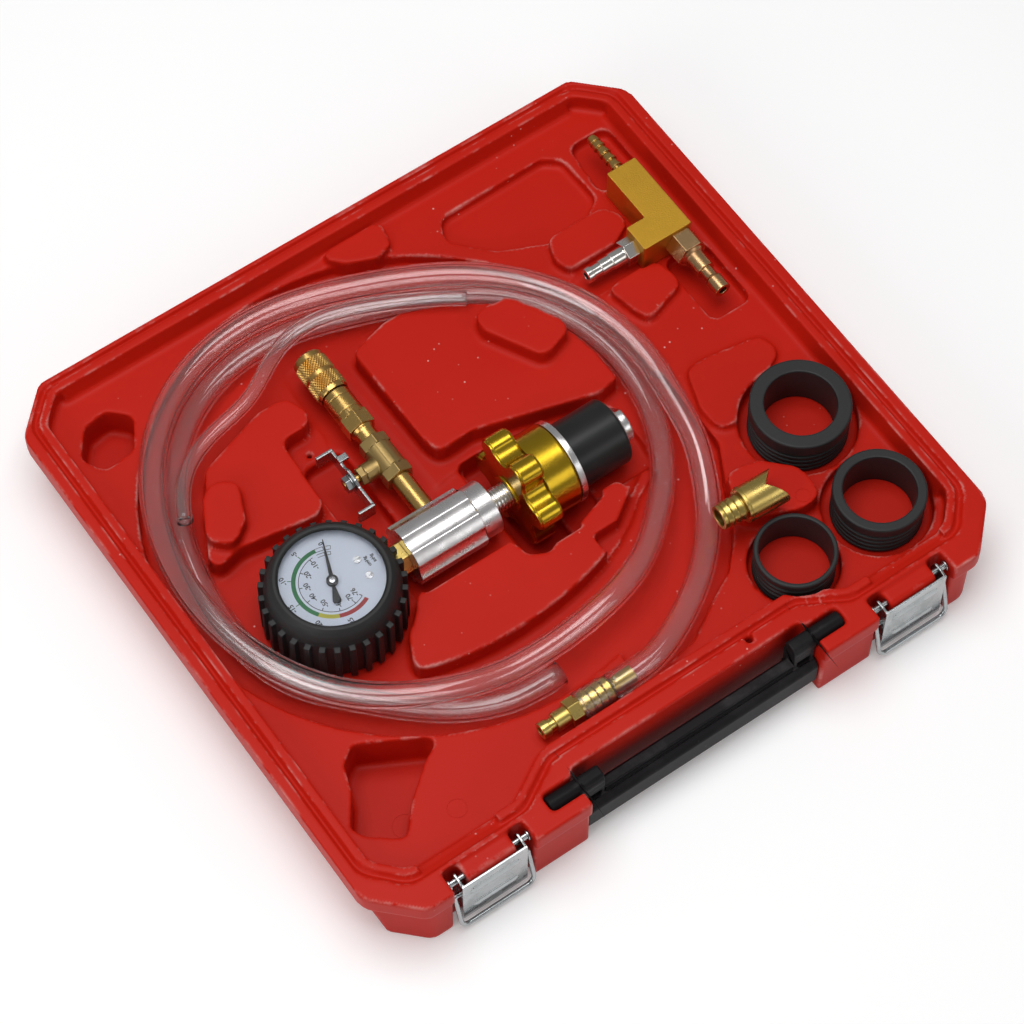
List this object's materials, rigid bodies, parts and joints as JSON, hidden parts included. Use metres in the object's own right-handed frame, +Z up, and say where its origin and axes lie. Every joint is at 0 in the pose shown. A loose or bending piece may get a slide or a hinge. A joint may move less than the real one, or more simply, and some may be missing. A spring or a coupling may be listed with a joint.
{
  "type": "coolant vacuum refill kit",
  "caption": "Moulded case half holding a cooling system refill head with vacuum gauge, ball valve and expanding plug, a venturi, clear hoses, a suction tip and neck adaptor rings.",
  "frame": {"origin": "centre of the case half on the surface it stands on", "axes": "+X right along the handle side, +Y from the handle side to the back, +Z up out of the open case"},
  "size_m": [0.33, 0.3115, 0.0644],
  "materials": {
    "red_moulding": "blow-moulded red polyethylene, satin",
    "black_plastic": "moulded black plastic",
    "zinc_steel": "bright zinc-plated pressed steel",
    "black_rubber": "moulded black rubber",
    "gauge_black": "black painted steel",
    "dial_card": "printed dial",
    "clear_lens": "clear window",
    "brass": "turned brass",
    "aluminium": "turned aluminium",
    "gold_anodised": "gold anodised aluminium",
    "bright_steel": "turned and plated steel",
    "nickel": "nickel plate",
    "ptfe": "white seal plastic",
    "clear_hose": "clear flexible tube"
  },
  "bodies": {
    "case": {"case_tray": "red_moulding", "latch_pins": "zinc_steel"},
    "handle": {"handle": "black_plastic"},
    "latch_left": {"latch_lever_left": "zinc_steel"},
    "latch_right": {"latch_lever_right": "zinc_steel"},
    "bail_left": {"latch_bail_left": "zinc_steel"},
    "bail_right": {"latch_bail_right": "zinc_steel"},
    "head": {"gauge_boot": "black_rubber", "gauge_case": "gauge_black", "gauge_dial": "dial_card", "dial_screws": "bright_steel", "gauge_lens": "clear_lens", "gauge_socket": "brass", "bourdon_tube": "brass", "gauge_movement": "brass", "manifold": "aluminium", "centre_tube": "bright_steel", "rubber_plug": "black_rubber", "end_washer": "bright_steel", "end_nut": "bright_steel", "valve_inlet": "brass", "valve_body": "brass", "valve_seats": "ptfe", "valve_outlet": "brass", "coupler_body": "brass", "coupler_spring": "bright_steel", "coupler_balls": "bright_steel"},
    "needle": {"gauge_needle": "gauge_black"},
    "sector": {"sector_gear": "brass"},
    "presser": {"pressure_washer": "bright_steel"},
    "knob": {"knob": "gold_anodised"},
    "valve_turning": {"valve_ball": "bright_steel", "valve_stem": "brass", "valve_lever": "bright_steel", "lever_nut": "bright_steel"},
    "sleeve": {"coupler_sleeve": "brass"},
    "venturi": {"venturi_block": "gold_anodised", "venturi_barb": "brass", "venturi_nozzle": "brass", "venturi_nipple": "nickel", "air_plug": "brass"},
    "ring_large": {"ring_large": "black_rubber"},
    "ring_medium": {"ring_medium": "black_rubber"},
    "ring_small": {"ring_small": "black_rubber"},
    "hoses": {"fill_hose": "clear_hose", "vent_hose": "clear_hose", "hose_connector": "brass"},
    "tip": {"suction_tip": "brass"}
  },
  "joints": [
    {"name": "handle_fold", "type": "hinge", "parent": "case", "child": "handle", "pos_m": [0, -0.143, 0.036], "axis": [-1, 0, 0], "range_deg": [0, 95]},
    {"name": "latch_left_swing", "type": "hinge", "parent": "case", "child": "latch_left", "pos_m": [-0.111, -0.148, 0.035], "axis": [-1, 0, 0], "range_deg": [0, 90]},
    {"name": "latch_right_swing", "type": "hinge", "parent": "case", "child": "latch_right", "pos_m": [0.111, -0.148, 0.035], "axis": [-1, 0, 0], "range_deg": [0, 90]},
    {"name": "bail_left_swing", "type": "hinge", "parent": "latch_left", "child": "bail_left", "pos_m": [-0.111, -0.1503, 0.025], "axis": [-1, 0, 0], "range_deg": [-15, 150]},
    {"name": "bail_right_swing", "type": "hinge", "parent": "latch_right", "child": "bail_right", "pos_m": [0.111, -0.1503, 0.025], "axis": [-1, 0, 0], "range_deg": [-15, 150]},
    {"name": "head_lift", "type": "slide", "parent": "case", "child": "head", "axis": [0, 0, 1], "range_m": [0, 0.1]},
    {"name": "sector_turn", "type": "hinge", "parent": "head", "child": "sector", "pos_m": [-0.1115, -0.011, 0.044], "axis": [0, 0, 1], "range_deg": [-57.5, 0], "stiffness_Nm_per_rad": 0.0004},
    {"name": "needle_turn", "type": "hinge", "parent": "head", "child": "needle", "pos_m": [-0.0965, -0.011, 0.044], "axis": [0, 0, 1], "range_deg": [0, 230]},
    {"name": "presser_slide", "type": "slide", "parent": "head", "child": "presser", "axis": [1, 0, 0], "range_m": [0, 0.004], "deforming": ["rubber_plug"]},
    {"name": "knob_turn", "type": "hinge", "parent": "presser", "child": "knob", "pos_m": [0.001, -0.011, 0.038], "axis": [1, 0, 0], "range_deg": [0, 720]},
    {"name": "valve_turn", "type": "hinge", "parent": "head", "child": "valve_turning", "pos_m": [-0.0395, 0.033, 0.038], "axis": [-1, 0, 0], "range_deg": [0, 90]},
    {"name": "sleeve_slide", "type": "slide", "parent": "head", "child": "sleeve", "axis": [0, -1, 0], "range_m": [0, 0.0035], "stiffness_N_per_m": 1500, "deforming": ["coupler_spring"]},
    {"name": "venturi_lift", "type": "slide", "parent": "case", "child": "venturi", "axis": [0, 0, 1], "range_m": [0, 0.08]},
    {"name": "ring_large_lift", "type": "slide", "parent": "case", "child": "ring_large", "axis": [0, 0, 1], "range_m": [0, 0.08]},
    {"name": "ring_medium_lift", "type": "slide", "parent": "case", "child": "ring_medium", "axis": [0, 0, 1], "range_m": [0, 0.08]},
    {"name": "ring_small_lift", "type": "slide", "parent": "case", "child": "ring_small", "axis": [0, 0, 1], "range_m": [0, 0.08]},
    {"name": "hoses_lift", "type": "slide", "parent": "case", "child": "hoses", "axis": [0, 0, 1], "range_m": [0, 0.1]},
    {"name": "tip_lift", "type": "slide", "parent": "hoses", "child": "tip", "axis": [0, 0, 1], "range_m": [0, 0.08]}
  ],
  "couplings": [
    {"joint": "needle_turn", "follows": "sector_turn", "ratio": -4},
    {"joint": "presser_slide", "follows": "knob_turn", "m_per_rad": 0.00031831}
  ]
}
